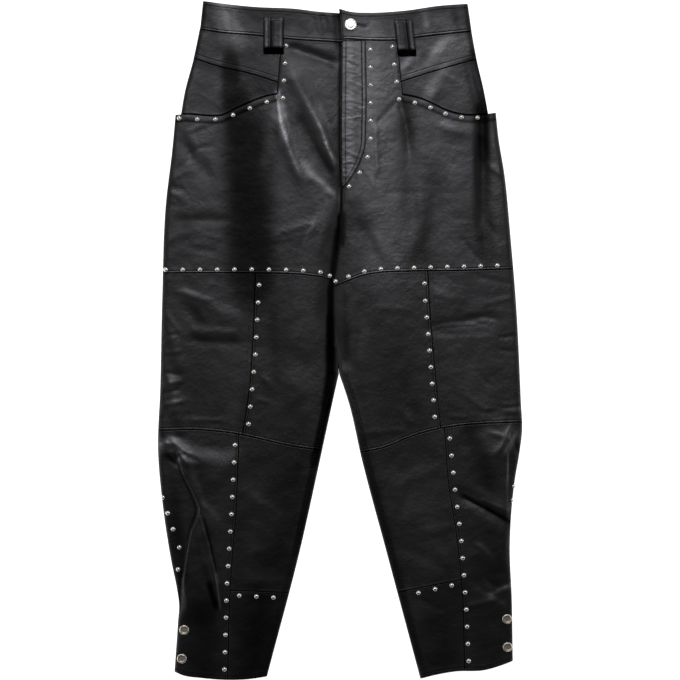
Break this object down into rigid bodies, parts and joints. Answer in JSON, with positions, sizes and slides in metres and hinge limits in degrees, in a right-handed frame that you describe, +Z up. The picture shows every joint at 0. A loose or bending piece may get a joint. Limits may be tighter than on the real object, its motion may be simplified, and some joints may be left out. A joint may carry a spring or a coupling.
{
  "type": "leather trousers",
  "caption": "Black leather trousers laid flat, with studded panel seams, curved front pockets, double belt loops and snaps at the hems.",
  "frame": {"origin": "on the surface that the trousers lie on, at the middle of their outline", "axes": "+X to the wearer's left, +Y to the waist, +Z up out of the front"},
  "size_m": [0.5099, 0.9498, 0.0176],
  "materials": {
    "leather": "semi-gloss smooth grain",
    "nickel": "polished",
    "aged_brass": "satin"
  },
  "bodies": {
    "root": {"back_left": "leather", "back_right": "leather", "belt_loop_left": "leather", "belt_loop_right": "leather", "cuff_inner_left": "leather", "cuff_inner_right": "leather", "fly": "leather", "hem_snap_left_lower": "aged_brass", "hem_snap_left_upper": "aged_brass", "hem_snap_right_lower": "aged_brass", "hem_snap_right_upper": "aged_brass", "hip_yoke_left": "leather", "hip_yoke_right": "leather", "knee_inner_left": "leather", "knee_inner_right": "leather", "knee_outer_left": "leather", "knee_outer_right": "leather", "pocket_facing_left": "leather", "pocket_facing_right": "leather", "shin_inner_left": "leather", "shin_inner_right": "leather", "shin_outer_left": "leather", "shin_outer_right": "leather", "thigh_left": "leather", "thigh_right": "leather", "waist_button": "nickel", "waistband_back": "leather", "waistband_left": "leather", "waistband_right": "leather"}
  },
  "joints": []
}
